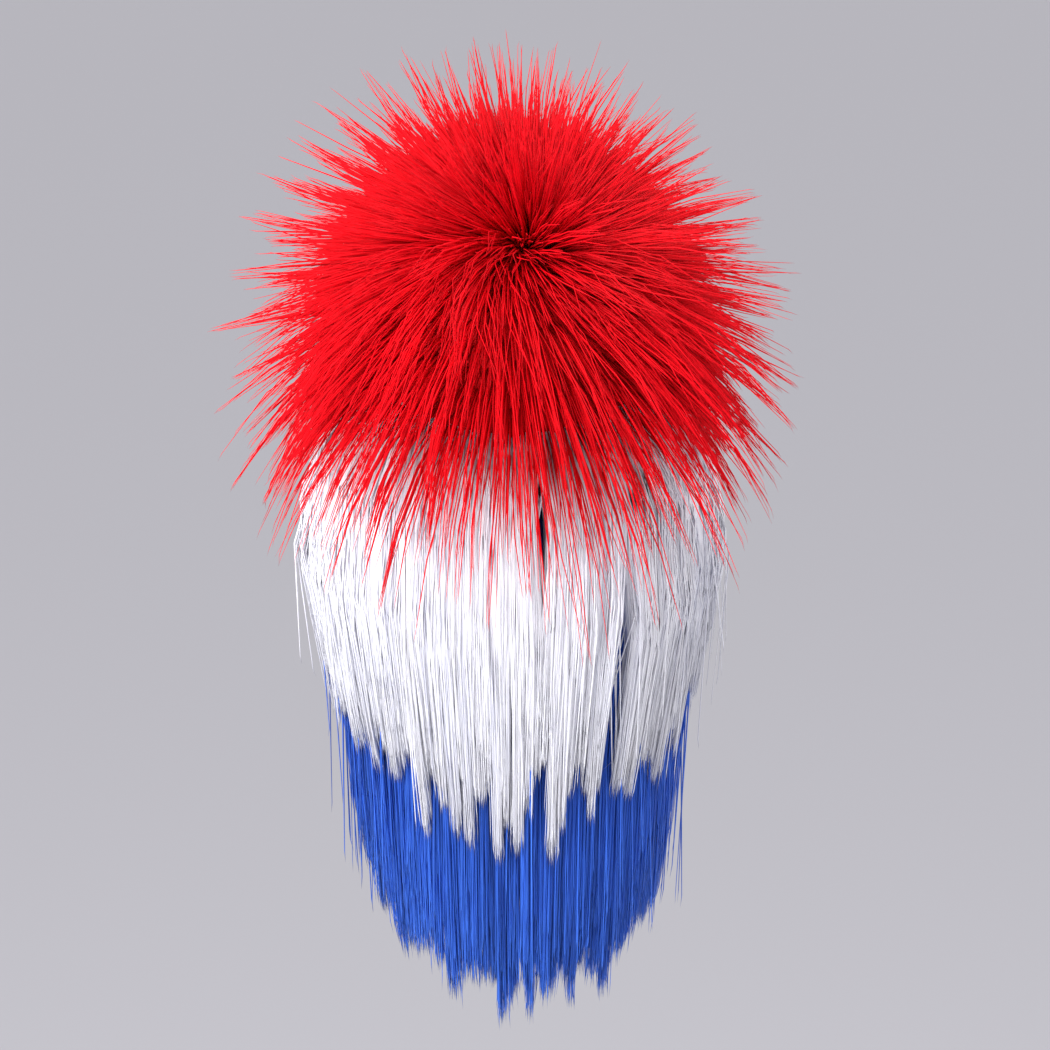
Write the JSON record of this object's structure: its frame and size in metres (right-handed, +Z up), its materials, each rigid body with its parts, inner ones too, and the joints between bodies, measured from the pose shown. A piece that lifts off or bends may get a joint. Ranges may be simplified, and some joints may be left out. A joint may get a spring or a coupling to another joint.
{
  "type": "mullet wig",
  "caption": "Spiky mullet wig: short red spikes all over the crown, a white tier hanging behind from ear to ear, and a longer blue tier under it.",
  "frame": {"origin": "inside the cap, where the top of the wearer's head touches it", "axes": "+Z up, the wearer's face looks along -Y, +X is the wearer's left"},
  "size_m": [0.307, 0.317, 0.5248],
  "materials": {
    "cap_net": "matt net",
    "band": "woven elastic",
    "red_hair": "glossy synthetic fibre, spiked and combed",
    "white_hair": "glossy synthetic fibre, spiked and combed",
    "blue_hair": "glossy synthetic fibre, spiked and combed"
  },
  "bodies": {
    "root": {"net_cap": "cap_net", "edge_band": "band", "red_crown": "red_hair", "red_fringe": "red_hair", "red_back": "red_hair", "red_side_left": "red_hair", "red_side_right": "red_hair", "white_tier": "white_hair", "blue_tier": "blue_hair"}
  },
  "joints": []
}
